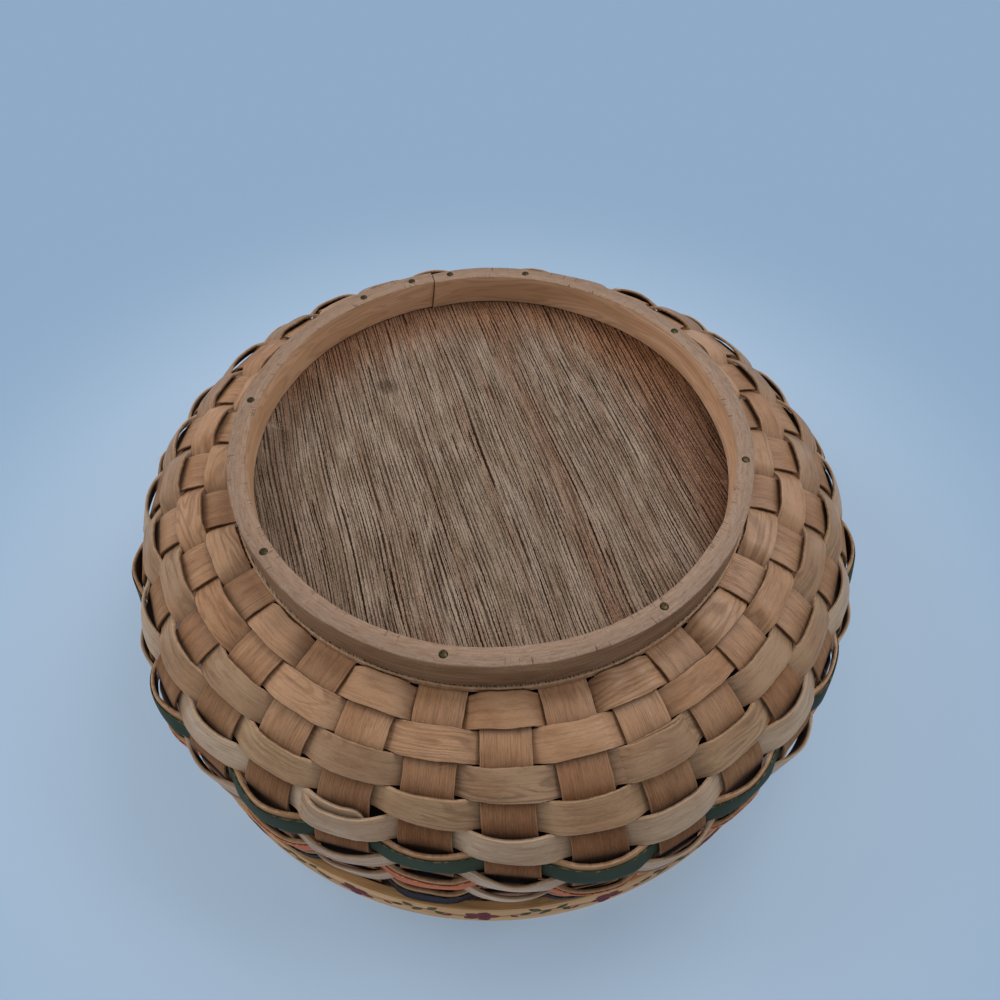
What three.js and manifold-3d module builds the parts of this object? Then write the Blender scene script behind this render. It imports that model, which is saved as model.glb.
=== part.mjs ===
// A round splint basket: wide flat stakes are nailed between two boards on a bent foot hoop, curve up
// round a full belly and end between two rim bands, and ten rows of weaver strips run over and under them.
// Millimetres, +Z up. The origin is the centre of the foot hoop's flat face, where the basket stands.
import * as THREE from "three";
import { mergeVertices } from "three/addons/utils/BufferGeometryUtils.js";
import Module from "manifold-3d";

const wasm = await Module();
wasm.setup();

// Overall form
const TOTAL_HEIGHT = 123; // hoop's flat face to the mouth
const BELLY_RADIUS = 149.3; // middle of a stake's thickness, where the side is widest
const BELLY_HEIGHT = 64;
const SHOULDER_FULLNESS = 2.1; // exponent of the superellipse from the base to the belly, 2 is an ellipse
const MOUTH_TUCK = 2.2; // how far the side draws in from the belly to the rim

// Foot hoop and boards
const HOOP_RADIUS = 101.5;
const HOOP_THICKNESS = 7.2;
const HOOP_HEIGHT = 14;
const HOOP_ROUNDING = 0.7;
const HOOP_SEAM_AZIMUTH = 75.5; // degrees
const HOOP_SEAM_SLANT = 8; // degrees away from upright
const SEAM_GAP = 0.5;
const BASE_BOARD_OVERHANG = 0.8; // sawn edge beyond the hoop
const BASE_BOARD_THICKNESS = 2.8;
const INNER_BOARD_INSET = 4; // from the base board's edge
const INNER_BOARD_THICKNESS = 3;

// Stakes and weavers
const STAKE_COUNT = 32;
const STAKE_THICKNESS = 1.2;
const STAKE_WIDTH = 18.8; // from the belly up
const STAKE_GAP_AT_BOARD = 3.4; // between neighbours where they leave the base board
const STAKE_END_BELOW_MOUTH = 1;
const ROW_COUNT = 10;
const ROW_GAP = 0.4;
const FIRST_ROW_CLEAR_OF_BOARD = 1.2;
const WEAVER_THICKNESS = 1.3;
const OVER_BOW = 0.6; // how far a weaver stands out at the middle of a stake that it passes over

// Rim bands
const RIM_BAND_HEIGHT = 21;
const OUTER_RIM_THICKNESS = 3.3;
const INNER_RIM_THICKNESS = 3;
const RIM_ROUNDING = 0.8;
const OUTER_RIM_SEAM_AZIMUTH = 112.5; // degrees
const INNER_RIM_SEAM_AZIMUTH = 135; // degrees

// Nails
const EVEN_NAILS = 8; // one through every fourth stake
const SEAM_NAIL_OFFSET = 5.3; // degrees either side of the hoop's seam
const NAIL_SHANK_RADIUS = 0.9;
const NAIL_HEAD_RADIUS = 1.6;
const NAIL_HEAD_HEIGHT = 0.7;
const NAIL_HEAD_BELOW_FACE = 0.15;
const NAIL_POINT_LENGTH = 2.2;
const NAIL_CLEARANCE = 0.3;
const BOARD_LEFT_ABOVE_NAIL = 0.8;

// Fits and facets
const FIT = 0.3; // gap between pieces that touch
const ROUND_SEGMENTS = 56;
const NAIL_SIDES = 8;
const SHOULDER_STEPS = 9;
const TUCK_STEPS = 2;

// Worked out from the sizes above
const BASE_BOARD_RADIUS = HOOP_RADIUS + BASE_BOARD_OVERHANG;
const BASE_BOARD_BOTTOM = HOOP_HEIGHT + FIT;
const STAKE_FOOT_HEIGHT = BASE_BOARD_BOTTOM + BASE_BOARD_THICKNESS + FIT + STAKE_THICKNESS / 2;
const INNER_BOARD_BOTTOM = STAKE_FOOT_HEIGHT + STAKE_THICKNESS / 2 + FIT;
const STAKE_PITCH = (2 * Math.PI) / STAKE_COUNT;
const STAKE_FOOT_WIDTH = STAKE_PITCH * BASE_BOARD_RADIUS - STAKE_GAP_AT_BOARD;
const STAKE_INNER_RADIUS = (STAKE_FOOT_WIDTH + 2 * FIT) / STAKE_PITCH;
const RIM_BOTTOM = TOTAL_HEIGHT - RIM_BAND_HEIGHT;
const MOUTH_RADIUS = BELLY_RADIUS - MOUTH_TUCK;
const NAIL_RING_RADIUS = HOOP_RADIUS - HOOP_THICKNESS / 2;

const radians = THREE.MathUtils.degToRad;

// The side line is the middle of a stake's thickness, seen from the side, as points (radius, height).
class ShoulderCurve extends THREE.Curve {
  getPoint(t, target = new THREE.Vector2()) {
    const angle = (t * Math.PI) / 2;
    const power = 2 / SHOULDER_FULLNESS;
    const reach = BELLY_RADIUS - BASE_BOARD_RADIUS;
    const rise = BELLY_HEIGHT - STAKE_FOOT_HEIGHT;
    return target.set(
      BASE_BOARD_RADIUS + reach * Math.sin(angle) ** power,
      BELLY_HEIGHT - rise * Math.max(0, Math.cos(angle)) ** power,
    );
  }
}

class TuckCurve extends THREE.Curve {
  getPoint(t, target = new THREE.Vector2()) {
    const drawnIn = (MOUTH_TUCK * (1 - Math.cos(Math.PI * t))) / 2;
    return target.set(BELLY_RADIUS - drawnIn, THREE.MathUtils.lerp(BELLY_HEIGHT, RIM_BOTTOM, t));
  }
}

const footRun = new THREE.LineCurve(
  new THREE.Vector2(STAKE_INNER_RADIUS, STAKE_FOOT_HEIGHT),
  new THREE.Vector2(BASE_BOARD_RADIUS, STAKE_FOOT_HEIGHT),
);
const shoulder = new ShoulderCurve();
const tuck = new TuckCurve();
const rimRun = new THREE.LineCurve(
  new THREE.Vector2(MOUTH_RADIUS, RIM_BOTTOM),
  new THREE.Vector2(MOUTH_RADIUS, TOTAL_HEIGHT - STAKE_END_BELOW_MOUTH),
);
const sideRuns = [footRun, shoulder, tuck, rimRun];
sideRuns.forEach((run) => {
  run.arcLengthDivisions = 400;
});

// A point of the side line at a distance along it, with the outward normal there.
function sideAt(distance) {
  let left = distance;
  let run = sideRuns[0];
  for (run of sideRuns) {
    if (left <= run.getLength()) break;
    if (run !== rimRun) left -= run.getLength();
  }
  const u = THREE.MathUtils.clamp(left / run.getLength(), 0, 1);
  const tangent = run.getTangentAt(u);
  return { point: run.getPointAt(u), normal: new THREE.Vector2(tangent.y, -tangent.x) };
}

const SHOULDER_START = footRun.getLength();
const TUCK_START = SHOULDER_START + shoulder.getLength();
const RIM_START = TUCK_START + tuck.getLength();
const SIDE_LENGTH = RIM_START + rimRun.getLength();
const WEAVE_START = SHOULDER_START + FIRST_ROW_CLEAR_OF_BOARD;
const ROW_PITCH = (RIM_START - ROW_GAP / 2 - WEAVE_START) / ROW_COUNT;
const WEAVER_WIDTH = ROW_PITCH - ROW_GAP;

function stakeWidthAt(distance) {
  const t = THREE.MathUtils.smoothstep(distance, SHOULDER_START, TUCK_START);
  return THREE.MathUtils.lerp(STAKE_FOOT_WIDTH, STAKE_WIDTH, t);
}

// Joins a row of four-cornered sections into one closed strip.
function stripGeometry(sections) {
  const corners = sections[0].length;
  const positions = sections.flat().flatMap((p) => [p.x, p.y, p.z]);
  const indices = [];
  for (let i = 0; i + 1 < sections.length; i++) {
    for (let c = 0; c < corners; c++) {
      const a = i * corners + c;
      const b = i * corners + ((c + 1) % corners);
      indices.push(a, b, b + corners, a, b + corners, a + corners);
    }
  }
  const last = (sections.length - 1) * corners;
  indices.push(0, 2, 1, 0, 3, 2, last, last + 1, last + 2, last, last + 2, last + 3);
  const geometry = new THREE.BufferGeometry();
  geometry.setAttribute("position", new THREE.Float32BufferAttribute(positions, 3));
  geometry.setIndex(indices);
  return geometry;
}

function toSolid(geometry) {
  const bare = geometry.clone();
  bare.deleteAttribute("normal");
  bare.deleteAttribute("uv");
  const merged = mergeVertices(bare, 1e-3);
  return new wasm.Manifold(
    new wasm.Mesh({
      numProp: 3,
      vertProperties: new Float32Array(merged.attributes.position.array),
      triVerts: new Uint32Array(merged.index.array),
    }),
  );
}

function toGeometry(solid) {
  const mesh = solid.getMesh();
  const geometry = new THREE.BufferGeometry();
  geometry.setAttribute("position", new THREE.BufferAttribute(mesh.vertProperties, 3));
  geometry.setIndex(new THREE.BufferAttribute(mesh.triVerts, 1));
  return geometry;
}

const cut = (geometry, tools) =>
  toGeometry(tools.reduce((solid, tool) => solid.subtract(toSolid(tool)), toSolid(geometry)));

// A body of revolution about Z from (radius, height) pairs, whose outline closes on itself or on the axis.
function turned(outline, segments = ROUND_SEGMENTS) {
  const points = outline.map(([radius, height]) => new THREE.Vector2(radius, height));
  return new THREE.LatheGeometry(points, segments).rotateX(Math.PI / 2);
}

function bandOutline(innerRadius, outerRadius, bottom, top, roundedBottom, roundedTop) {
  const corners = [
    [innerRadius + roundedBottom, bottom],
    [outerRadius - roundedBottom, bottom],
    [outerRadius, bottom + roundedBottom],
    [outerRadius, top - roundedTop],
    [outerRadius - roundedTop, top],
    [innerRadius + roundedTop, top],
    [innerRadius, top - roundedTop],
    [innerRadius, bottom + roundedBottom],
  ];
  const different = (p, q) => p[0] !== q[0] || p[1] !== q[1];
  const outline = corners.filter((corner, i) => different(corner, corners[(i + 1) % corners.length]));
  return [...outline, outline[0]];
}

// A thin slanted plate across a band, which leaves the seam where the band's two ends meet.
function seamCutter(radius, thickness, middleHeight, bandHeight, azimuth, slant) {
  const plate = new THREE.BoxGeometry(4 * thickness, SEAM_GAP, 2 * bandHeight);
  return plate
    .rotateX(radians(slant))
    .translate(radius, 0, middleHeight)
    .rotateZ(radians(azimuth));
}

const evenNailAzimuths = Array.from({ length: EVEN_NAILS }, (_, i) => {
  const stake = 1 + (i * STAKE_COUNT) / EVEN_NAILS;
  return THREE.MathUtils.radToDeg(stake * STAKE_PITCH);
});
const seamNailAzimuths = [HOOP_SEAM_AZIMUTH - SEAM_NAIL_OFFSET, HOOP_SEAM_AZIMUTH + SEAM_NAIL_OFFSET];
const nailAzimuths = [...evenNailAzimuths, ...seamNailAzimuths].sort((a, b) => a - b);
const NAIL_TIP = INNER_BOARD_BOTTOM + INNER_BOARD_THICKNESS - BOARD_LEFT_ABOVE_NAIL - NAIL_CLEARANCE;

const placeNail = (geometry, azimuth) =>
  geometry.translate(NAIL_RING_RADIUS, 0, 0).rotateZ(radians(azimuth));

function nailGeometry(azimuth) {
  const head = NAIL_HEAD_BELOW_FACE + NAIL_HEAD_HEIGHT;
  const outline = [
    [0, NAIL_HEAD_BELOW_FACE],
    [NAIL_HEAD_RADIUS, NAIL_HEAD_BELOW_FACE],
    [NAIL_SHANK_RADIUS, head],
    [NAIL_SHANK_RADIUS, NAIL_TIP - NAIL_POINT_LENGTH],
    [0, NAIL_TIP],
  ];
  return placeNail(turned(outline, NAIL_SIDES), azimuth);
}

function nailBore(azimuth) {
  const boreRadius = NAIL_SHANK_RADIUS + NAIL_CLEARANCE;
  const sinkRadius = NAIL_HEAD_RADIUS + NAIL_CLEARANCE;
  const outline = [
    [0, -1],
    [sinkRadius, -1],
    [sinkRadius, NAIL_HEAD_BELOW_FACE + NAIL_CLEARANCE],
    [boreRadius, NAIL_HEAD_BELOW_FACE + NAIL_HEAD_HEIGHT + NAIL_CLEARANCE],
    [boreRadius, NAIL_TIP + NAIL_CLEARANCE],
    [0, NAIL_TIP + NAIL_CLEARANCE],
  ];
  return placeNail(turned(outline, NAIL_SIDES), azimuth);
}

const bores = nailAzimuths.map(nailBore);

function footHoopGeometry() {
  const inner = HOOP_RADIUS - HOOP_THICKNESS;
  const ring = turned(bandOutline(inner, HOOP_RADIUS, 0, HOOP_HEIGHT, HOOP_ROUNDING, 0));
  const seam = seamCutter(
    NAIL_RING_RADIUS,
    HOOP_THICKNESS,
    HOOP_HEIGHT / 2,
    HOOP_HEIGHT,
    HOOP_SEAM_AZIMUTH,
    HOOP_SEAM_SLANT,
  );
  return cut(ring, [seam, ...bores]);
}

function boardGeometry(radius, bottom, thickness) {
  const top = bottom + thickness;
  const disc = turned([
    [0, bottom],
    [radius, bottom],
    [radius, top],
    [0, top],
  ]);
  return cut(disc, bores);
}

function rimGeometry(innerRadius, thickness, seamAzimuth) {
  const outer = innerRadius + thickness;
  const ring = turned(bandOutline(innerRadius, outer, RIM_BOTTOM, TOTAL_HEIGHT, 0, RIM_ROUNDING));
  const middle = (RIM_BOTTOM + TOTAL_HEIGHT) / 2;
  const middleRadius = innerRadius + thickness / 2;
  return cut(ring, [seamCutter(middleRadius, thickness, middle, RIM_BAND_HEIGHT, seamAzimuth, 0)]);
}

function stakeStations() {
  const spread = (start, end, steps) =>
    Array.from({ length: steps }, (_, i) => THREE.MathUtils.lerp(start, end, i / steps));
  return [
    0,
    ...spread(SHOULDER_START, TUCK_START, SHOULDER_STEPS),
    ...spread(TUCK_START, RIM_START, TUCK_STEPS),
    RIM_START,
    SIDE_LENGTH,
  ];
}

function stakeGeometry(index) {
  const azimuth = index * STAKE_PITCH;
  const outward = new THREE.Vector3(Math.cos(azimuth), Math.sin(azimuth), 0);
  const across = new THREE.Vector3(-outward.y, outward.x, 0);
  const sections = stakeStations().map((distance) => {
    const { point, normal } = sideAt(distance);
    const half = stakeWidthAt(distance) / 2;
    return [
      [1, -1],
      [1, 1],
      [-1, 1],
      [-1, -1],
    ].map(([side, turn]) => {
      const offset = (side * STAKE_THICKNESS) / 2;
      const corner = outward.clone().multiplyScalar(point.x + normal.x * offset);
      corner.z = point.y + normal.y * offset;
      return corner.addScaledVector(across, turn * half);
    });
  });
  const strip = stripGeometry(sections);
  const stakeHalfTurn = Math.atan((STAKE_FOOT_WIDTH / 2 + NAIL_HEAD_RADIUS) / NAIL_RING_RADIUS);
  const hits = bores.filter((_, i) => {
    const away = THREE.MathUtils.euclideanModulo(radians(nailAzimuths[i]) - azimuth + Math.PI, 2 * Math.PI);
    return Math.abs(away - Math.PI) < stakeHalfTurn;
  });
  return hits.length ? cut(strip, hits) : strip;
}

// Odd rows pass over the even stakes, and even rows over the odd ones.
const passesOver = (row, stake) => (row + stake) % 2 === 1;

// A row starts behind one stake, goes once round, and ends on the inside of its own start.
function weaverGeometry(row) {
  const middle = WEAVE_START + (row - 0.5) * ROW_PITCH;
  const edges = [middle - WEAVER_WIDTH / 2, middle + WEAVER_WIDTH / 2].map(sideAt);
  const radius = sideAt(middle).point.x;
  const halfStake = stakeWidthAt(middle) / 2;
  const stripSag = WEAVER_WIDTH ** 2 / (8 * (BELLY_HEIGHT - STAKE_FOOT_HEIGHT));
  const stakeSag = halfStake ** 2 / (2 * radius);
  const clear = STAKE_THICKNESS / 2 + FIT + WEAVER_THICKNESS / 2;
  const over = clear + stripSag + stakeSag;
  const lap = WEAVER_THICKNESS + FIT;
  const edgeTurn = (halfStake + FIT) / radius;
  const firstStake = 6 + 4 * row + (passesOver(row, 6) ? 1 : 0);
  const stations = [];
  for (let pass = 0; pass <= STAKE_COUNT; pass++) {
    const stake = firstStake + pass;
    const azimuth = stake * STAKE_PITCH;
    const isOver = passesOver(row, stake);
    const base = isOver ? over : -clear - (pass === STAKE_COUNT ? lap : 0);
    stations.push([azimuth - edgeTurn, base]);
    if (isOver) stations.push([azimuth, base + OVER_BOW]);
    stations.push([azimuth + edgeTurn, base]);
  }
  const sections = stations.map(([azimuth, offset]) => {
    const corner = (edge, side) => {
      const out = offset + (side * WEAVER_THICKNESS) / 2;
      const reach = edge.point.x + edge.normal.x * out;
      const height = edge.point.y + edge.normal.y * out;
      return new THREE.Vector3(reach * Math.cos(azimuth), reach * Math.sin(azimuth), height);
    };
    const [lower, upper] = edges;
    return [corner(lower, -1), corner(upper, -1), corner(upper, 1), corner(lower, 1)];
  });
  return stripGeometry(sections);
}

const wood = (color, roughness = 0.75) =>
  new THREE.MeshStandardMaterial({ color, roughness, metalness: 0 });
const materials = {
  hoop: wood(0xab8f74),
  plywood: wood(0x7d6653, 0.85),
  stake: wood(0xa9805a),
  weaver: wood(0xb8977a),
  green: wood(0x34483c, 0.6),
  coral: wood(0xcd7d58, 0.6),
  navy: wood(0x2b2835, 0.6),
  rim: wood(0xaf8d64),
  nail: new THREE.MeshStandardMaterial({ color: 0x7c6a45, roughness: 0.45, metalness: 0.9 }),
};
const paintedRows = { 6: "green", 8: "coral", 10: "navy" };

const basket = new THREE.Group();
function add(name, geometry, material) {
  const mesh = new THREE.Mesh(geometry, material);
  mesh.name = name;
  basket.add(mesh);
}
const numbered = (name, number) => `${name}_${String(number).padStart(2, "0")}`;

add("foot_hoop", footHoopGeometry(), materials.hoop);
add(
  "base_board",
  boardGeometry(BASE_BOARD_RADIUS, BASE_BOARD_BOTTOM, BASE_BOARD_THICKNESS),
  materials.plywood,
);
add(
  "inner_board",
  boardGeometry(BASE_BOARD_RADIUS - INNER_BOARD_INSET, INNER_BOARD_BOTTOM, INNER_BOARD_THICKNESS),
  materials.plywood,
);
nailAzimuths.forEach((azimuth, i) => {
  add(numbered("hoop_nail", i + 1), nailGeometry(azimuth), materials.nail);
});
for (let stake = 1; stake <= STAKE_COUNT; stake++) {
  add(numbered("stake", stake), stakeGeometry(stake), materials.stake);
}
for (let row = 1; row <= ROW_COUNT; row++) {
  const paint = paintedRows[row];
  const name = paint ? `weaver_row_${String(row).padStart(2, "0")}_${paint}` : numbered("weaver_row", row);
  add(name, weaverGeometry(row), materials[paint ?? "weaver"]);
}

// A flat stake lies in a round, faceted band, so the outer band clears the stake's corners.
const stakeCornerReach = Math.hypot(MOUTH_RADIUS + STAKE_THICKNESS / 2, STAKE_WIDTH / 2);
const outerRimInside = (stakeCornerReach + FIT) / Math.cos(Math.PI / ROUND_SEGMENTS);
const innerRimOutside = MOUTH_RADIUS - STAKE_THICKNESS / 2 - FIT;
add(
  "outer_rim_band",
  rimGeometry(outerRimInside, OUTER_RIM_THICKNESS, OUTER_RIM_SEAM_AZIMUTH),
  materials.rim,
);
add(
  "inner_rim_band",
  rimGeometry(innerRimOutside - INNER_RIM_THICKNESS, INNER_RIM_THICKNESS, INNER_RIM_SEAM_AZIMUTH),
  materials.rim,
);

export default basket;
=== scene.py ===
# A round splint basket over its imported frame: bent splints, hoop, boards and rim with the grain of real wood.
# Metres, +Z up. The basket stands on its foot hoop at z = 0. The camera looks up at it from below, because
# it was photographed upside down, standing on its mouth.
import math

import bmesh
import bpy
import numpy as np
from mathutils import Matrix, Vector

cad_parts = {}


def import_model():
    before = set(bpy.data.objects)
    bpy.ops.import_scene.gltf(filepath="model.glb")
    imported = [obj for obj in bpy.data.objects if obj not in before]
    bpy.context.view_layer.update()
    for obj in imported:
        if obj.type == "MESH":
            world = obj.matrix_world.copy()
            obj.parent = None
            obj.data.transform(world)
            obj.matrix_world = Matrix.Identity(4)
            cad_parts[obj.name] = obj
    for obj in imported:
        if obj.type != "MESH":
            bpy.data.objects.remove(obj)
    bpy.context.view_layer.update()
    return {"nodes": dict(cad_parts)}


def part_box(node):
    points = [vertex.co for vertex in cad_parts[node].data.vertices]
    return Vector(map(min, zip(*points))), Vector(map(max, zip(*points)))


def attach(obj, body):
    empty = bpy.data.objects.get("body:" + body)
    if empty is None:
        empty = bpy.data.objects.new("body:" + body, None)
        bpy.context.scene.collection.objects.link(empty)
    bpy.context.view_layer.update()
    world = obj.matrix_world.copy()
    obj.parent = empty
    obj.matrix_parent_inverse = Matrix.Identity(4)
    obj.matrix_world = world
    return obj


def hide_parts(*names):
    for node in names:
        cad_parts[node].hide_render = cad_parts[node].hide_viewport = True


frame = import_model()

MM = 0.001
SEED = 11


def lowest(node):
    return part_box(node)[0]


def highest(node):
    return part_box(node)[1]


# Sizes that the frame gives
TOTAL_HEIGHT = highest("outer_rim_band").z
HOOP_RADIUS = highest("foot_hoop").x
HOOP_HEIGHT = highest("foot_hoop").z
BOARD_RADIUS = highest("base_board").x
BOARD_BOTTOM = lowest("base_board").z
BOARD_TOP = highest("base_board").z
INNER_BOARD_RADIUS = highest("inner_board").x
INNER_BOARD_BOTTOM = lowest("inner_board").z
INNER_BOARD_TOP = highest("inner_board").z
RIM_BOTTOM = lowest("outer_rim_band").z
OUTER_RIM_RADIUS = highest("outer_rim_band").x
INNER_RIM_OUTSIDE = highest("inner_rim_band").x
ROW_NODES = sorted(name for name in frame["nodes"] if name.startswith("weaver_row_"))
STAKE_NODES = sorted(name for name in frame["nodes"] if name.startswith("stake_"))
NAIL_NODES = sorted(name for name in frame["nodes"] if name.startswith("hoop_nail_"))

# Sizes that the frame doesn't give
FIT = 0.3 * MM
STAKE_COUNT = len(STAKE_NODES)
STAKE_PITCH = 2 * math.pi / STAKE_COUNT
STAKE_THICKNESS = 1.2 * MM
STAKE_WIDTH = 18.8 * MM
STAKE_FOOT_WIDTH = STAKE_PITCH * BOARD_RADIUS - 3.4 * MM
STAKE_INNER_RADIUS = (STAKE_FOOT_WIDTH + 2 * FIT) / STAKE_PITCH
STAKE_FOOT_HEIGHT = (BOARD_TOP + INNER_BOARD_BOTTOM) / 2
STAKE_END = TOTAL_HEIGHT - 1 * MM
BELLY_RADIUS = highest(STAKE_NODES[-1]).x - STAKE_THICKNESS / 2
BELLY_HEIGHT = 64 * MM
SHOULDER_FULLNESS = 2.1
MOUTH_RADIUS = INNER_RIM_OUTSIDE + FIT + STAKE_THICKNESS / 2
ROW_COUNT = len(ROW_NODES)
ROW_GAP = 0.4 * MM
FIRST_ROW_CLEAR_OF_BOARD = 1.2 * MM
WEAVER_THICKNESS = 1.3 * MM
HOOP_THICKNESS = 7.2 * MM
HOOP_ROUNDING = 0.45 * MM
HOOP_SEAM_AZIMUTH = math.radians(75.5)
HOOP_SEAM_SLANT = math.radians(8)
HOOP_END_SPRUNG = 1.1 * MM
SEAM_GAP = 0.5 * MM
INNER_RIM_THICKNESS = 3 * MM
OUTER_RIM_THICKNESS = 3.3 * MM
RIM_ROUNDING = 0.9 * MM
OUTER_RIM_SEAM_AZIMUTH = math.radians(112.5)
INNER_RIM_SEAM_AZIMUTH = math.radians(135)
NAIL_HEAD_RADIUS = 1.35 * MM
NAIL_SHANK_RADIUS = 0.9 * MM

# How the splints lie
CONTACT_GAP = 0.1 * MM
FLAT_CREST = 2.6 * MM
BELLY_CREST = 3.1 * MM
STAKE_BULGE_AT_HOOP = 0.25 * MM
STAKE_BULGE_AT_BELLY = 0.8 * MM
STAKE_CUP = 0.1 * MM
WEAVER_CUP = 0.12 * MM
EDGE_WANDER = 0.16 * MM
EDGE_ROUNDING = 0.22 * MM
PAINTED_SPLINT_THICKNESS = 0.55 * MM
PAINTED_SPLINT_SET_BACK = 2.0 * MM
PAINTED_SPLINT_GAP = 0.05 * MM
PAINTED_ROWS = {6: "green", 8: "coral", 10: "navy"}
ROW_WOODS = {3: "grey_weaver", 4: "straw_weaver", 5: "pale_weaver", 7: "pale_weaver", 9: "pale_weaver"}
# First stake of each row whose ends show, and how many stakes its end goes on past its start
SHOWN_LAPS = {3: (21, 2), 5: (26, 1)}
LAP_SHIFT = {3: 1.1 * MM, 5: 1.9 * MM}
# Where the laps that don't show lie, one row's after another's
FIRST_HIDDEN_LAP = 6
STAKES_BETWEEN_LAPS = 4
LAP_END_LENGTH = 5 * MM
BELLY_SWELL = 0.7 * MM
BELLY_LEAN = Vector((-1.4 * MM, 0.8 * MM))
# Azimuth and reach in degrees, and depth, of the places where the wall stands out or in
BULGES = (
    (254, 14, 4.5 * MM), (283, 11, -2.5 * MM), (142, 14, 4.5 * MM), (172, 16, 3.6 * MM), (195, 9, 1.6 * MM),
    (225, 9, 2.0 * MM), (300, 12, 2.2 * MM), (324, 10, 3.4 * MM),
)


class SideLine:
    """The middle of a stake's thickness seen from the side, by the distance along it from its inner end."""

    def __init__(self):
        angle = np.linspace(0, math.pi / 2, 400)
        power = 2 / SHOULDER_FULLNESS
        shoulder_radius = BOARD_RADIUS + (BELLY_RADIUS - BOARD_RADIUS) * np.sin(angle) ** power
        shoulder_height = BELLY_HEIGHT - (BELLY_HEIGHT - STAKE_FOOT_HEIGHT) * np.cos(angle).clip(0) ** power
        tuck = np.linspace(0, 1, 120)[1:]
        tuck_radius = BELLY_RADIUS - (BELLY_RADIUS - MOUTH_RADIUS) * (1 - np.cos(math.pi * tuck)) / 2
        tuck_height = BELLY_HEIGHT + (RIM_BOTTOM - BELLY_HEIGHT) * tuck
        foot = np.linspace(STAKE_INNER_RADIUS, BOARD_RADIUS, 20)[:-1]
        rim = np.linspace(RIM_BOTTOM, STAKE_END + 4 * MM, 20)[1:]
        mouth_radius = np.full(rim.size, MOUTH_RADIUS)
        foot_height = np.full(foot.size, STAKE_FOOT_HEIGHT)
        self.radius = np.concatenate([foot, shoulder_radius, tuck_radius, mouth_radius])
        self.height = np.concatenate([foot_height, shoulder_height, tuck_height, rim])
        steps = np.hypot(np.diff(self.radius), np.diff(self.height))
        self.distance = np.concatenate([[0], np.cumsum(steps)])
        slope_r = np.gradient(self.radius, self.distance)
        slope_z = np.gradient(self.height, self.distance)
        size = np.hypot(slope_r, slope_z)
        self.normal_r = slope_z / size
        self.normal_z = -slope_r / size
        self.shoulder_start = BOARD_RADIUS - STAKE_INNER_RADIUS
        past_foot = foot.size + 1
        rising = self.height[past_foot:], self.distance[past_foot:]
        self.belly = np.interp(BELLY_HEIGHT, *rising)
        self.rim_start = np.interp(RIM_BOTTOM, *rising)
        self.end = np.interp(STAKE_END, *rising)

    def at(self, distance, offset=0.0):
        """Radius and height at a distance along the line, a little way outwards from it."""
        lines = (self.radius, self.height, self.normal_r, self.normal_z)
        radius, height, out_r, out_z = (np.interp(distance, self.distance, line) for line in lines)
        return radius + out_r * offset, height + out_z * offset


side = SideLine()
WEAVE_START = side.shoulder_start + FIRST_ROW_CLEAR_OF_BOARD
ROW_PITCH = (side.rim_start - ROW_GAP / 2 - WEAVE_START) / ROW_COUNT
WEAVER_WIDTH = ROW_PITCH - ROW_GAP


def row_middle(row):
    return WEAVE_START + (row - 0.5) * ROW_PITCH


def stake_width(distance):
    along = np.clip((distance - side.shoulder_start) / (side.belly - side.shoulder_start), 0, 1)
    smooth = along * along * (3 - 2 * along)
    return STAKE_FOOT_WIDTH + (STAKE_WIDTH - STAKE_FOOT_WIDTH) * smooth


def passes_over(row, stake):
    """Odd rows pass over the even stakes, and even rows over the odd ones."""
    return (row + stake) % 2 == 1


def looseness(row):
    """From 0 in the flat rows by the hoop and the mouth to 1 at the belly."""
    return np.sin(math.pi * np.clip((row - 2.5) / 7.5, 0, 1)) ** 2


def pushed_out(row):
    """How much further out than by the hoop a weaver stands behind a stake that it pushes outwards."""
    return 0.75 * (stake_bulge(row) - STAKE_BULGE_AT_HOOP)


def weaver_crest(row):
    """How far a weaver bows outwards over a stake."""
    return FLAT_CREST + (BELLY_CREST - FLAT_CREST) * looseness(row)


def stake_bulge(row):
    """How far a weaver pushes a stake outwards from behind, or inwards from in front."""
    return STAKE_BULGE_AT_HOOP + (STAKE_BULGE_AT_BELLY - STAKE_BULGE_AT_HOOP) * looseness(row)


# Shaders


def srgb(code):
    """A linear colour from its sRGB hex code."""
    channels = [int(code[i : i + 2], 16) / 255 for i in (0, 2, 4)]
    linear = [c / 12.92 if c <= 0.04045 else ((c + 0.055) / 1.055) ** 2.4 for c in channels]
    return (*linear, 1.0)


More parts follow.
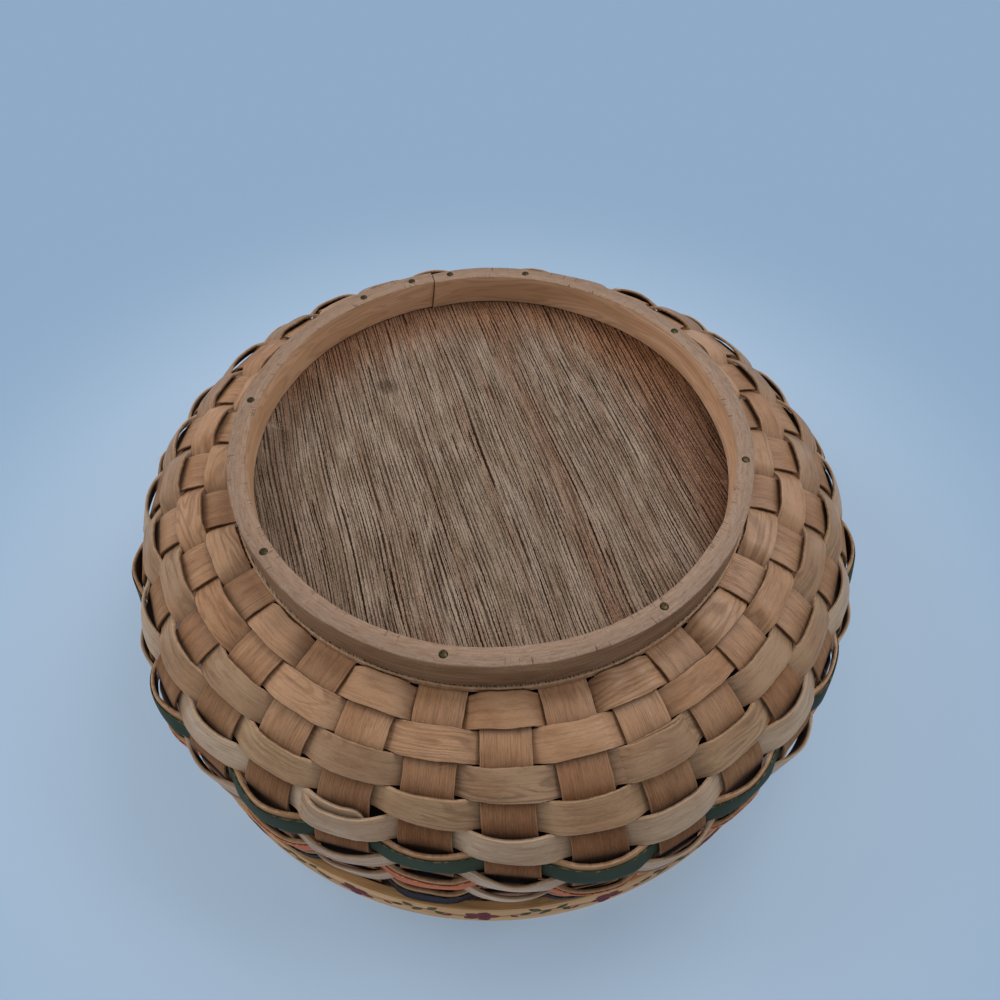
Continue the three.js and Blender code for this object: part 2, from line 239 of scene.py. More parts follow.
class Nodes:
    """A node tree, with a short call for each kind of node that the scene uses."""

    def __init__(self, tree):
        self.tree = tree

    def put(self, socket, value):
        if isinstance(value, bpy.types.NodeSocket):
            self.tree.links.new(value, socket)
        elif isinstance(value, str):
            socket.default_value = srgb(value)
        else:
            socket.default_value = value

    def node(self, kind, inputs=None, **settings):
        made = self.tree.nodes.new("ShaderNode" + kind)
        for key, value in settings.items():
            setattr(made, key, value)
        for key, value in (inputs or {}).items():
            self.put(made.inputs[key], value)
        return made

    def attribute(self, name, output="Vector"):
        return self.node("Attribute", attribute_name=name).outputs[output]

    def place(self):
        return self.node("TexCoord").outputs["Object"]

    def math(self, operation, *values):
        return self.node("Math", dict(enumerate(values)), operation=operation).outputs[0]

    def times(self, first, second):
        return self.math("MULTIPLY", first, second)

    def plus(self, first, second):
        return self.math("ADD", first, second)

    def vector(self, operation, *values):
        made = self.node("VectorMath", dict(enumerate(values)), operation=operation)
        return made.outputs["Value" if operation == "LENGTH" else "Vector"]

    def split(self, vector):
        return self.node("SeparateXYZ", {0: vector}).outputs

    def joined(self, x, y, z):
        return self.node("CombineXYZ", {0: x, 1: y, 2: z}).outputs[0]

    def noise(self, vector, sizes, detail=2.0, roughness=0.5):
        """A noise whose details are as long along each axis as the sizes say, in millimetres. A third size
        that isn't given is a metre."""
        scale = [1 / (size * MM) for size in (*sizes, 1000)[:3]]
        inputs = {"Vector": self.vector("MULTIPLY", vector, scale), "Scale": 1.0}
        inputs.update({"Detail": detail, "Roughness": roughness})
        return self.node("TexNoise", inputs).outputs["Fac"]

    def between(self, value, low, high, first=0.0, last=1.0):
        inputs = {"Value": value, "From Min": low, "From Max": high, "To Min": first, "To Max": last}
        return self.node("MapRange", inputs, interpolation_type="SMOOTHSTEP").outputs[0]

    def mix(self, amount, first, second):
        return self.node("Mix", {0: amount, 6: first, 7: second}, data_type="RGBA").outputs[2]

    def tint(self, colour, *tints):
        """The colour under tints, each growing from none where its value is at low to its most at high."""
        for value, low, high, most, tint in tints:
            colour = self.mix(self.between(value, low, high, 0.0, most), colour, tint)
        return colour

    def turn_about_z(self, vector, azimuth):
        """Azimuth, radius and height round Z, counted from an azimuth where the texture may break."""
        turned = self.node("VectorRotate", {"Vector": vector, "Angle": math.pi - azimuth}).outputs[0]
        x, y, z = self.split(turned)
        radius = self.math("SQRT", self.plus(self.times(x, x), self.times(y, y)))
        return self.math("ARCTAN2", y, x), radius, z

    def bump(self, height, distance, strength=1.0):
        inputs = {"Height": height, "Distance": distance, "Strength": strength}
        return self.node("Bump", inputs).outputs["Normal"]


class Shader(Nodes):
    """A material's node tree, with its own surface."""

    def __init__(self, name, roughness=0.6, specular=0.3, metallic=0.0):
        self.material = bpy.data.materials.new(name)
        self.material.use_nodes = True
        super().__init__(self.material.node_tree)
        self.surface = self.tree.nodes["Principled BSDF"]
        self.surface.inputs["Roughness"].default_value = roughness
        self.surface.inputs["Specular IOR Level"].default_value = specular
        self.surface.inputs["Metallic"].default_value = metallic

    def finish(self, colour, normal, roughness=None):
        self.put(self.surface.inputs["Base Color"], colour)
        self.put(self.surface.inputs["Normal"], normal)
        if roughness is not None:
            self.put(self.surface.inputs["Roughness"], roughness)
        return self.material


COMB_SPACING = 0.85 * MM
# Colour of the painted shade, with some grime, on splints where other strips cover them and beside them
PAINTED_SHADE_WOOD = "2a160d"


def splint_material(name, pale, tan, dark, combed=0.0, figure=0.45, roughness=0.46, painted_front_shade=0.0):
    """Bare split wood. Its grain attribute holds metres along and across the strip and its own number. combed
    is how much the knife has lined it, figure how strong its growth rings are, and the last argument how much
    painted shade darkens and browns it low down on the basket's -Y side."""
    shader = Shader(name, roughness=roughness, specular=0.3)
    grain = shader.attribute("grain")
    hidden = shader.attribute("hidden", "Fac")
    edge = shader.attribute("edge", "Fac")
    across = shader.split(grain)[1]
    tone = shader.noise(grain, (30, 24))
    stain = shader.noise(grain, (52, 18, 370), detail=1.0)
    silk = shader.noise(grain, (12, 2.2), detail=4.0, roughness=0.62)
    streaks = shader.noise(grain, (48, 0.6), detail=3.0, roughness=0.7)
    fibres = shader.noise(grain, (2.2, 0.22), detail=3.0, roughness=0.7)
    rings_at = shader.noise(grain, (48, 9), detail=1.0)
    rings = shader.math("SINE", shader.times(rings_at, 70.0))
    ring_places = shader.between(shader.noise(grain, (40, 25)), 0.44, 0.58)
    ring_lines = shader.times(shader.between(rings, -0.2, 0.95), ring_places)
    sway = shader.noise(grain, (60, 5), detail=1.0)
    turns = shader.plus(shader.times(across, 2 * math.pi / COMB_SPACING), shader.times(sway, 24.0))
    comb_places = shader.between(shader.noise(grain, (14, 1.5)), 0.38, 0.6)
    comb_lines = shader.times(shader.between(shader.math("SINE", turns), 0.1, 0.95), comb_places)
    colour = shader.mix(shader.between(tone, 0.32, 0.68), tan, pale)
    colour = shader.tint(colour, (stain, 0.52, 0.72, 0.4, "9a6a46"))
    # Painted shade: darker and browner low down on the basket's -Y side
    if painted_front_shade:
        side_y = shader.split(shader.place())[1]
        colour = shader.tint(colour, (side_y, -112 * MM, -150 * MM, painted_front_shade, "80502f"))
    # The painted shade number also makes the pale mottling weaker all over the stake
    colour = shader.tint(
        colour,
        (silk, 0.45, 0.72, 0.45 - 0.3 * painted_front_shade, pale),
        (silk, 0.5, 0.28, 0.35, dark),
        (streaks, 0.48, 0.7, 0.34, dark),
    )
    colour = shader.mix(shader.times(ring_lines, figure), colour, dark)
    colour = shader.mix(shader.times(comb_lines, combed), colour, dark)
    colour = shader.tint(
        colour,
        (fibres, 0.5, 0.72, 0.4, dark),
        (fibres, 0.5, 0.28, 0.4, pale),
    )
    cut = shader.between(edge, 0.9, 1.0)
    cut_wood = shader.mix(shader.between(fibres, 0.4, 0.65), tan, "b8977a")
    colour = shader.mix(shader.times(cut, 0.6), colour, cut_wood)
    # Painted shade, with some grime, where other strips cover this one and beside them
    colour = shader.mix(shader.times(hidden, 0.74), colour, PAINTED_SHADE_WOOD)
    relief = shader.plus(shader.times(fibres, 0.5), shader.times(streaks, 0.5))
    relief = shader.math("SUBTRACT", relief, shader.times(comb_lines, combed))
    normal = shader.bump(relief, 0.16 * MM, 0.9)
    gloss = shader.between(silk, 0.3, 0.7, roughness + 0.16, roughness - 0.12)
    gloss = shader.math("MAXIMUM", gloss, shader.between(hidden, 0.1, 0.4))
    return shader.finish(colour, normal, gloss)


def painted_material(name, paint, worn, wood):
    """Satin paint that the grain shows through, rubbed thin here and there."""
    shader = Shader(name, roughness=0.5, specular=0.06)
    grain = shader.attribute("grain")
    hidden = shader.attribute("hidden", "Fac")
    edge = shader.attribute("edge", "Fac")
    patches = shader.noise(grain, (30, 8), detail=3.0)
    streaks = shader.noise(grain, (45, 0.8), detail=4.0, roughness=0.6)
    chips = shader.noise(grain, (2.2, 0.9), detail=3.0, roughness=0.7)
    colour = shader.mix(shader.between(patches, 0.35, 0.7), paint, worn)
    colour = shader.tint(colour, (streaks, 0.52, 0.75, 0.3, worn))
    rubbed = shader.between(shader.plus(chips, shader.times(edge, 0.2)), 0.7, 0.76)
    colour = shader.mix(shader.times(rubbed, 0.7), colour, wood)
    # Painted shade where the stakes cover the paint and beside them
    colour = shader.mix(shader.times(hidden, 0.5), colour, "16120e")
    normal = shader.bump(streaks, 0.1 * MM, 0.5)
    gloss = shader.between(patches, 0.3, 0.7, 0.46, 0.62)
    gloss = shader.math("MAXIMUM", gloss, shader.between(hidden, 0.1, 0.4))
    return shader.finish(colour, normal, gloss)


def bent_wood_material(name, seam, pale, tan, dark, worn=None, scuffs=0.5):
    """A bent strip, whose grain runs round the basket. Its texture breaks only at the strip's own seam. With
    a worn colour it is the foot hoop, with painted light making its inner wall paler, and greyed and checked
    on its lower face."""
    shader = Shader(name)
    place = shader.place()
    azimuth, radius, height = shader.turn_about_z(place, seam)
    arc = shader.times(azimuth, HOOP_RADIUS)
    depth = shader.plus(radius, shader.times(height, 0.8))
    grain = shader.joined(arc, depth, shader.times(height, 0.6))
    tone = shader.noise(grain, (40, 6, 6))
    streaks = shader.noise(grain, (30, 0.6, 0.6), detail=3.0, roughness=0.62)
    fibres = shader.noise(grain, (8, 0.45, 0.45), detail=3.0, roughness=0.6)
    rings_at = shader.noise(grain, (55, 7, 7), roughness=0.4)
    rings = shader.between(shader.math("SINE", shader.times(rings_at, 60.0)), -0.2, 1.0)
    flecks = shader.noise(place, (0.9, 0.9, 0.9), detail=3.0, roughness=0.7)
    places = shader.noise(place, (12, 12, 12))
    marks = shader.times(shader.between(flecks, 0.55, 0.7), shader.between(places, 0.42, 0.6))
    colour = shader.mix(shader.between(tone, 0.32, 0.68), tan, pale)
    colour = shader.mix(shader.times(rings, 0.25), colour, dark)
    colour = shader.tint(
        colour,
        (streaks, 0.48, 0.72, 0.6, dark),
        (fibres, 0.5, 0.8, 0.3, dark),
    )
    if worn is not None:
        # Painted light: the hoop's inner wall is painted paler, as if lit
        inside = shader.between(radius, HOOP_RADIUS - 3 * MM, HOOP_RADIUS - 5 * MM, 0.0, 0.8)
        lit = shader.mix(shader.between(rings_at, 0.35, 0.65), "c69a75", "dcb08e")
        lit = shader.mix(shader.times(rings, 0.35), lit, "a27656")
        colour = shader.mix(inside, colour, lit)
        foot = shader.between(height, 0.6 * MM, 0.1 * MM, 0.0, 0.9)
        greyed = shader.mix(shader.between(fibres, 0.35, 0.75, 0.0, 0.7), worn, tan)
        sawn = shader.joined(arc, radius, height)
        rough_face = shader.noise(sawn, (5, 0.9, 9), detail=4.0, roughness=0.72)
        greyed = shader.tint(
            greyed,
            (rough_face, 0.5, 0.7, 0.5, dark),
            (rough_face, 0.5, 0.3, 0.4, "a89080"),
        )
        ticks = shader.noise(sawn, (0.8, 7, 9))
        crowded = shader.noise(place, (15, 15, 15), detail=1.0)
        inner_edge = shader.between(radius, HOOP_RADIUS - 4 * MM, HOOP_RADIUS - 6.5 * MM, 0.0, 0.07)
        ticks = shader.plus(ticks, inner_edge)
        checks = shader.times(shader.between(ticks, 0.64, 0.7), shader.between(crowded, 0.46, 0.58))
        greyed = shader.mix(shader.times(checks, 0.75), greyed, "3a2216")
        colour = shader.mix(foot, colour, greyed)
    colour = shader.mix(shader.times(marks, scuffs), colour, "a5978a")
    relief = shader.plus(shader.times(streaks, 0.7), shader.times(flecks, 0.3))
    normal = shader.bump(relief, 0.22 * MM, 0.8)
    return shader.finish(colour, normal)


KNOT_PLACE = (43.8 * MM, 39.3 * MM, BOARD_BOTTOM)


def plywood_material(name, grain_azimuth, pale, tan, dark, red):
    """An open-pored face veneer, with long dark pores, darker growth bands and a redder heart side."""
    shader = Shader(name, roughness=0.8, specular=0.08)
    turned = shader.node("VectorRotate", {"Vector": shader.place(), "Angle": -grain_azimuth}).outputs[0]
    along, across, up = shader.split(turned)
    bend = shader.noise(turned, (90, 45, 80), detail=1.0)
    ragged = shader.noise(turned, (1.1, 0.7, 9), roughness=0.7)
    swerve = shader.plus(shader.times(bend, 6 * MM), shader.times(ragged, 0.8 * MM))
    across_grain = shader.plus(across, swerve)
    grain = shader.joined(along, across_grain, up)

    def pore_lines(spacing, length, low, high):
        """Rows of pores about one spacing apart, with breaks along them, in millimetres."""
        spread = shader.noise(grain, (160, 4.1 * spacing))
        turns = shader.times(across_grain, 2 * math.pi / (spacing * MM))
        turns = shader.plus(turns, shader.times(spread, 18.0))
        breaks = shader.noise(grain, (length, 0.9 * spacing))
        lines = shader.between(shader.math("SINE", turns), low, high)
        return shader.times(lines, shader.between(breaks, 0.4, 0.48))

    bands = shader.noise(grain, (300, 7), roughness=0.6)
    clouds = shader.noise(grain, (26, 9), detail=3.0)
    crowding = shader.noise(grain, (90, 4.5))
    fuzz = shader.noise(turned, (0.7, 0.36, 1), roughness=0.8)
    broad = pore_lines(1.5, 30, 0.5, 0.72)
    fine = pore_lines(0.9, 12, 0.45, 0.75)
    pores = shader.math("MAXIMUM", broad, shader.times(fine, 0.75))
    pores = shader.times(pores, shader.between(crowding, 0.35, 0.6, 0.7, 1.0))
    colour = shader.mix(shader.between(clouds, 0.3, 0.7), tan, pale)
    colour = shader.tint(colour, (bands, 0.48, 0.66, 0.4, red))
    offset = shader.math("ABSOLUTE", shader.math("SUBTRACT", across, 22 * MM))
    colour = shader.tint(
        colour,
        (offset, 8 * MM, 2 * MM, 0.45, red),
        (across, 55 * MM, 78 * MM, 0.85, red),
    )
    # Painted shade and a stain: darker brown on the board's ring next to the hoop on the +Y side
    from_middle = shader.vector("LENGTH", shader.place())
    far_side = shader.between(shader.split(shader.place())[1], 5 * MM, 60 * MM, 0.0, 0.65)
    stain_and_shade = shader.times(shader.between(from_middle, 62 * MM, 92 * MM), far_side)
    colour = shader.mix(stain_and_shade, colour, "8e5c39")
    from_knot = shader.vector("LENGTH", shader.vector("SUBTRACT", shader.place(), KNOT_PLACE))
    colour = shader.tint(
        colour,
        (from_knot, 7 * MM, 1.5 * MM, 0.5, dark),
        (fuzz, 0.5, 0.72, 0.65, dark),
        (fuzz, 0.5, 0.26, 0.7, pale),
    )
    colour = shader.mix(pores, colour, dark)
    relief = shader.math("SUBTRACT", shader.times(fuzz, 0.5), pores)
    normal = shader.bump(relief, 0.3 * MM, 0.75)
    return shader.finish(colour, normal)


def brass_material():
    shader = Shader("nail_brass_dull", roughness=0.45, specular=0.5, metallic=0.85)
    spots = shader.noise(shader.place(), (0.8, 0.8, 0.8), detail=4.0, roughness=0.7)
    colour = shader.mix(shader.between(spots, 0.4, 0.65), "5a4c2c", "30281a")
    gloss = shader.between(spots, 0.3, 0.7, 0.35, 0.65)
    return shader.finish(colour, shader.bump(spots, 0.1 * MM, 0.6), gloss)


def flat_paint_material(name, paint, worn):
    shader = Shader(name, roughness=0.7, specular=0.1)
    brush = shader.noise(shader.place(), (3, 3, 1.2), detail=4.0, roughness=0.65)
    colour = shader.mix(shader.between(brush, 0.4, 0.7), paint, worn)
    return shader.finish(colour, shader.bump(brush, 0.05 * MM, 0.5))


materials = {
    "weaver": splint_material("splint_tan", "b18b6b", "98704f", "6b4830"),
    "grey_weaver": splint_material("splint_grey", "a38467", "8a6a4f", "5f4532", figure=0.5),
    "straw_weaver": splint_material("splint_straw", "ab8d6d", "937355", "6a4e38"),
    "pale_weaver": splint_material("splint_cream", "b8a28a", "9d8269", "775c45", figure=0.25),
    "backing": splint_material("splint_backing", "b08b67", "946e4d", "664630", figure=0.15),
    "stake": splint_material(
        "splint_stake", "b28a68", "996f4f", "5e3f29", combed=0.34, figure=0.15, roughness=0.42, painted_front_shade=0.8
    ),
    "green": painted_material("paint_green", "2b352a", "374133", "6f6248"),
    "coral": painted_material("paint_coral", "a8573a", "b56d4e", "cb9b78"),
    "navy": painted_material("paint_navy", "1e1a20", "2c272c", "5d4a3b"),
    "hoop": bent_wood_material("hoop_wood", HOOP_SEAM_AZIMUTH, "96765c", "806045", "583a25", "8a7362"),
    "base_ply": plywood_material("plywood_base", math.radians(76), "9d8a79", "7e6a58", "27160c", "7a553e"),
    "inner_ply": plywood_material("plywood_inner", math.radians(20), "a48d77", "8a705a", "4a3527", "85603f"),
    "ply_edge": splint_material("plywood_edge", "b39072", "a07b59", "86654a", roughness=0.7),
    "nail": brass_material(),
    "petal": flat_paint_material("vine_red", "582529", "70393a"),
    "leaf": flat_paint_material("vine_green", "3d4226", "585a37"),
}
for band, seam_azimuth in (("outer", OUTER_RIM_SEAM_AZIMUTH), ("inner", INNER_RIM_SEAM_AZIMUTH)):
    materials[band + "_rim"] = bent_wood_material(
        "rim_wood_" + band, seam_azimuth, "c69e70", "ad8556", "7e5a33", scuffs=0.15
    )


# Meshes


def added(name, data):
    """An object in the scene that shows a mesh, a lamp or the camera."""
    thing = bpy.data.objects.new(name, data)
    bpy.context.scene.collection.objects.link(thing)
    return thing


def piece(name, vertices, faces, material, nodes=(), attributes=None, sharp=30.0):
    """A mesh that rides on the basket, with its point attributes and the solids that it stands for."""
    mesh = bpy.data.meshes.new(name)
    mesh.from_pydata(np.asarray(vertices).tolist(), [], faces)
    for key, values in (attributes or {}).items():
        values = np.asarray(values, dtype=np.float32)
        if values.ndim == 2:
            mesh.attributes.new(key, "FLOAT_VECTOR", "POINT").data.foreach_set("vector", values.ravel())
        else:
            mesh.attributes.new(key, "FLOAT", "POINT").data.foreach_set("value", values)
    made = bmesh.new()
    made.from_mesh(mesh)
    bmesh.ops.recalc_face_normals(made, faces=made.faces)
    for face in made.faces:
        face.smooth = True
    made.to_mesh(mesh)
    made.free()
    mesh.set_sharp_from_angle(angle=math.radians(sharp))
    mesh.materials.append(material)
    thing = added(name, mesh)
    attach(thing, "root")
    if nodes:
        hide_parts(*nodes)
    return thing


def tube_faces(rings, corners):
    """Faces of a row of rings of corners, with flat ends."""
    faces = []
    for ring in range(rings - 1):
        here = ring * corners
        there = here + corners
        for c in range(corners):
            d = (c + 1) % corners
            faces.append((here + c, here + d, there + d, there + c))
    faces.append(tuple(range(corners - 1, -1, -1)))
    faces.append(tuple(range((rings - 1) * corners, rings * corners)))
    return faces


def wander(at, seed, period, amount):
    """A smooth random line through the numbers in at, with waves of about one period."""
    random = np.random.default_rng([SEED, *seed])
    total = np.zeros_like(at, dtype=float)
    for _ in range(7):
        total += random.uniform(0.4, 1) * np.sin(
            2 * math.pi * at / (period * random.uniform(0.6, 1.9)) + random.uniform(0, 2 * math.pi)
        )
    return amount * total / 2.2


def wander_round(azimuth, seed, period, amount):
    """A wander round the basket that meets itself again after one turn."""
    random = np.random.default_rng([SEED, *seed])
    total = np.zeros_like(azimuth, dtype=float)
    for _ in range(7):
        waves = round(2 * math.pi * BELLY_RADIUS / (period * random.uniform(0.6, 1.9)))
        total += random.uniform(0.4, 1) * np.sin(waves * azimuth + random.uniform(0, 2 * math.pi))
    return amount * total / 2.2


def curve_through(keys, values, at):
    """A smooth line through the keys, whose slope at each key comes from the keys beside it."""
    slopes = np.gradient(values, keys)
    i = np.clip(np.searchsorted(keys, at) - 1, 0, len(keys) - 2)
    gap = keys[i + 1] - keys[i]
    t = np.clip((at - keys[i]) / gap, 0, 1)
    start = (1 + 2 * t) * (1 - t) ** 2 * values[i] + t * (1 - t) ** 2 * gap * slopes[i]
    return start + t * t * (3 - 2 * t) * values[i + 1] + t * t * (t - 1) * gap * slopes[i + 1]


FACE_POINTS = 5
# Metres of wood between the places that two strips' grain is taken from
GRAIN_APART = 3.7


def strip_section(width, thickness, cup):
    """Corners (across, through) of a strip's section at each width: outer face, edge, inner face, edge."""
    half = width / 2 - EDGE_ROUNDING
    deep = thickness / 2 - EDGE_ROUNDING
    face = np.linspace(-1, 1, FACE_POINTS + 2)[None, 1:-1]
    quarter = np.radians([90, 45, 0])
    across = []
    through = []
    for sign in (1, -1):
        across.append(sign * half * face)
        through.append(np.full(across[-1].shape, sign * thickness / 2))
        for way, angles in ((sign, quarter), (-sign, quarter[::-1])):
            across.append(sign * (half + EDGE_ROUNDING * np.cos(angles)[None, :]))
            through.append(np.broadcast_to(way * (deep + EDGE_ROUNDING * np.sin(angles)), across[-1].shape))
    across = np.concatenate(across, axis=1)
    through = np.concatenate(through, axis=1)
    return across, through + cup * (1 - (2 * across / width) ** 2)


def length_along(points):
    """Distance of each point of a line from its start."""
    return np.concatenate([[0], np.cumsum(np.linalg.norm(np.diff(points, axis=0), axis=1))])


def unit(vectors):
    return vectors / np.linalg.norm(vectors, axis=-1, keepdims=True)


def strip_frame(first_edge, second_edge):
    """A strip's middle line, with the directions across it and out of its outer face."""
    middle = (first_edge + second_edge) / 2
    across = unit(second_edge - first_edge)
    out = unit(np.cross(unit(np.gradient(middle, axis=0)), across))
    outward = np.sign((out[:, :2] * middle[:, :2]).sum()) or 1.0
    return middle, across, out * outward


def strip_piece(name, first_edge, second_edge, thickness, number, material, slot, node, hidden, cup):
    """A strip between two lines of edge points, its grain along it. hidden is the painted shade on its (outer
    side, inner side), from 0 to 1.
    """
    middle, across_unit, out = strip_frame(first_edge, second_edge)
    width = np.linalg.norm(second_edge - first_edge, axis=1)[:, None]
    across, through = strip_section(width, thickness, np.broadcast_to(cup, len(middle))[:, None])
    points = middle[:, None, :] + across_unit[:, None, :] * across[:, :, None]
    points = points + out[:, None, :] * through[:, :, None]
    along = np.broadcast_to(length_along(middle)[:, None], across.shape)
    outer, inner = hidden
    attributes = {
        "grain": np.stack([along, across, number * GRAIN_APART + through], axis=2).reshape(-1, 3),
        "hidden": np.where(through > 0, outer[:, None], inner[:, None]).ravel(),
        "edge": np.clip((np.abs(across) - width / 2) / MM + 1.2, 0, 1).ravel(),
    }
    points = as_woven(points).reshape(-1, 3)
    return piece(name, points, tube_faces(*across.shape), material, (node,), attributes)


def as_woven(points):
    """The weave as it came from the hand, with its belly fuller on one side and its wall a little uneven."""
    height = points[..., 2]
    azimuth = np.degrees(np.arctan2(points[..., 1], points[..., 0])) % 360
    share = np.sin(math.pi * np.clip((height - STAKE_FOOT_HEIGHT) / (RIM_BOTTOM - STAKE_FOOT_HEIGHT), 0, 1))
    out = BELLY_SWELL * share**2
    for middle, reach, depth in BULGES:
        away = (azimuth - middle + 180) % 360 - 180
        out = out + depth * share * np.exp(-((away / reach) ** 2))
    turn = np.radians(azimuth)
    lean = (share**2)[..., None] * np.array([*BELLY_LEAN, 0])
    return points + on_circle(turn, out, share * 0) + lean


def on_circle(azimuth, radius, height):
    return np.stack([radius * np.cos(azimuth), radius * np.sin(azimuth), height], axis=-1)


# Stakes


def stake_piece(index, node):
    azimuth = index * STAKE_PITCH
    random = np.random.default_rng([SEED, 1, index])
    distance = np.linspace(0, side.end, 96)
    row = (distance - WEAVE_START) / ROW_PITCH + 0.5
    woven = np.clip((distance - WEAVE_START) / (4 * MM), 0, 1)
    woven = woven * np.clip((side.rim_start - distance) / (4 * MM), 0, 1)
    bulge = stake_bulge(row) * np.cos(math.pi * (row + index)) * woven
    radius, height = side.at(distance, bulge)
    half = stake_width(distance) / 2
    sway = wander(distance, (2, index), 60 * MM, 0.25 * MM) * woven
    across = np.array([-math.sin(azimuth), math.cos(azimuth), 0])
    middle = on_circle(np.full(distance.shape, azimuth), radius, height)
    first_half = half + wander(distance, (3, index), 9 * MM, EDGE_WANDER * 0.5) * woven
    second_half = half + wander(distance, (4, index), 9 * MM, EDGE_WANDER * 0.5) * woven
    first_edge = middle + across * (sway - first_half)[:, None]
    second_edge = middle + across * (sway + second_half)[:, None]
    number = np.floor(row + 0.5).astype(int)
    over = passes_over(number, index) & (number >= 1) & (number <= ROW_COUNT)
    # Painted shade, with some grime, on the stake: full where weavers or the rim bands cover it, fading beside
    # the weavers, and more all over on the belly rows
    from_edge = (0.5 - np.abs(row - number)) * ROW_PITCH
    covered = np.clip(from_edge / (1.5 * MM), 0, 1)
    beside = (0.3 + 0.3 * looseness(row)) * np.exp(-from_edge / (2.2 * MM)) + 0.45 * np.sqrt(looseness(row))
    covered = np.maximum(covered, beside)
    in_rim = np.clip((distance - side.rim_start) / (2 * MM), 0, 1)
    outer = np.maximum(np.where(over, covered, beside) * (woven > 0), in_rim)
    inner = np.maximum(np.where(over, beside, covered) * (woven > 0), in_rim)
    number = 40 + index + random.uniform(0, 0.5)
    return strip_piece(
        "splint_" + node, first_edge, second_edge, STAKE_THICKNESS, number, materials["stake"], "stake_wood",
        node, (outer, inner), STAKE_CUP,
    )


stakes = {stake: stake_piece(stake, node) for stake, node in enumerate(STAKE_NODES, start=1)}


# Weavers

STEPS_PER_STAKE = 22
CLEAR = STAKE_THICKNESS / 2 + CONTACT_GAP + WEAVER_THICKNESS / 2
CLEAR_OF_STAKE_EDGE = 0.2 * MM
LEAST_BOW = 0.45 * MM
STRIP_SAG = WEAVER_WIDTH**2 / (8 * (BELLY_HEIGHT - STAKE_FOOT_HEIGHT))


def row_boundary(azimuth, number):
    """Distance along the side of the ragged line between two rows, which both of them follow. It drifts to
    the mouth and back round the basket, but not where the board or the rim bands hold it."""
    free = min(1.0, number / 4) * min(1.0, (ROW_COUNT - number) / 2)
    crept = free * (0.5 * MM * np.sin(azimuth - 0.6) + 0.35 * MM * np.sin(3 * azimuth + 1.0))
    ragged = wander_round(azimuth, (6, number), 24 * MM, EDGE_WANDER)
    ragged = ragged + wander_round(azimuth, (7, number), 4 * MM, EDGE_WANDER * 0.35)
    if number == ROW_COUNT:
        ragged = np.minimum(ragged, 0) - 0.2 * MM
    return WEAVE_START + number * ROW_PITCH + crept + ragged


def weaver_lines(row):
    """Azimuths along a weaver from its start to its end, the offset of its middle from the side line at each,
    and the turn from a stake's middle to just past its edge."""
    random = np.random.default_rng([SEED, 5, row])
    middle = row_middle(row)
    radius = float(side.at(middle)[0])
    half_stake = float(stake_width(middle)) / 2
    edge_turn = (half_stake + CLEAR_OF_STAKE_EDGE) / radius
    stake_sag = half_stake**2 / (2 * radius)
    hidden_start = FIRST_HIDDEN_LAP + STAKES_BETWEEN_LAPS * row + passes_over(row, FIRST_HIDDEN_LAP)
    first, extra = SHOWN_LAPS.get(row, (hidden_start, 0))
    keys = []
    values = []
    last = STAKE_COUNT + extra
    paint = PAINTED_SPLINT_THICKNESS + PAINTED_SPLINT_GAP if row in PAINTED_ROWS else 0.0
    for number in range(last + 1):
        stake = first + number
        second_layer = WEAVER_THICKNESS + CONTACT_GAP + paint if number >= STAKE_COUNT else 0.0
        if passes_over(row, stake):
            base = CLEAR + STRIP_SAG + stake_sag + second_layer
            crest = max(weaver_crest(row), base - second_layer + LEAST_BOW) + second_layer
            crest += random.uniform(-0.4, 0.5) * MM
        else:
            base = -CLEAR - second_layer - paint + pushed_out(row)
            crest = base - 0.3 * MM
        azimuth = stake * STAKE_PITCH
        keys += [azimuth - edge_turn, azimuth, azimuth + edge_turn]
        values += [base, crest, base]
    keys = np.array(keys)
    values = np.array(values)
    start = keys[0] + edge_turn * 0.1
    end = keys[-1] - edge_turn * 0.1
    azimuth = np.linspace(start, end, (last + 1) * STEPS_PER_STAKE)
    return azimuth, curve_through(keys, values, azimuth), edge_turn


def weaver_painted_shade(azimuth, row, edge_turn):
    """How much painted shade the strip's outer and inner sides get, from 0 to 1: full where a stake covers
    them, fading beside the stakes.
    """
    stake = np.round(azimuth / STAKE_PITCH).astype(int)
    away = np.abs(azimuth - stake * STAKE_PITCH) - edge_turn
    beside = 0.45 * np.exp(-np.maximum(away, 0) * BELLY_RADIUS / (2 * MM))
    covered = np.maximum(np.clip(-away / (edge_turn * 0.15), 0, 1), beside)
    over = passes_over(row, stake)
    return np.where(over, 0.0, covered), np.where(over, covered, 0.0)


def weaver_cup(offset, row):
    """How much the strip's middle stands up, more behind a stake that it pushes outwards."""
    behind = np.clip(-offset / CLEAR, 0, 1)
    return WEAVER_CUP + pushed_out(row) * behind


# How much further out a bow's hoop-side and mouth-side edges stand, as shares of the bow
EDGE_SLACK = (0.3, -0.42)
EDGE_TRIM = 0.12 * MM
EDGE_GAP = ROW_GAP / 2 - EDGE_TRIM
FIRST_ROW_NEARER_HOOP = 0.7 * MM


def lap_shift(row, past_start):
    """How far towards the hoop a row's start lies under its own end, for each azimuth past the start."""
    rising = 1 + past_start / (0.8 * STAKE_PITCH)
    falling = 1 - past_start / (2.6 * STAKE_PITCH)
    share = np.clip(np.minimum(rising, falling), 0, 1)
    return LAP_SHIFT.get(row, 0.0) * share * share * (3 - 2 * share)


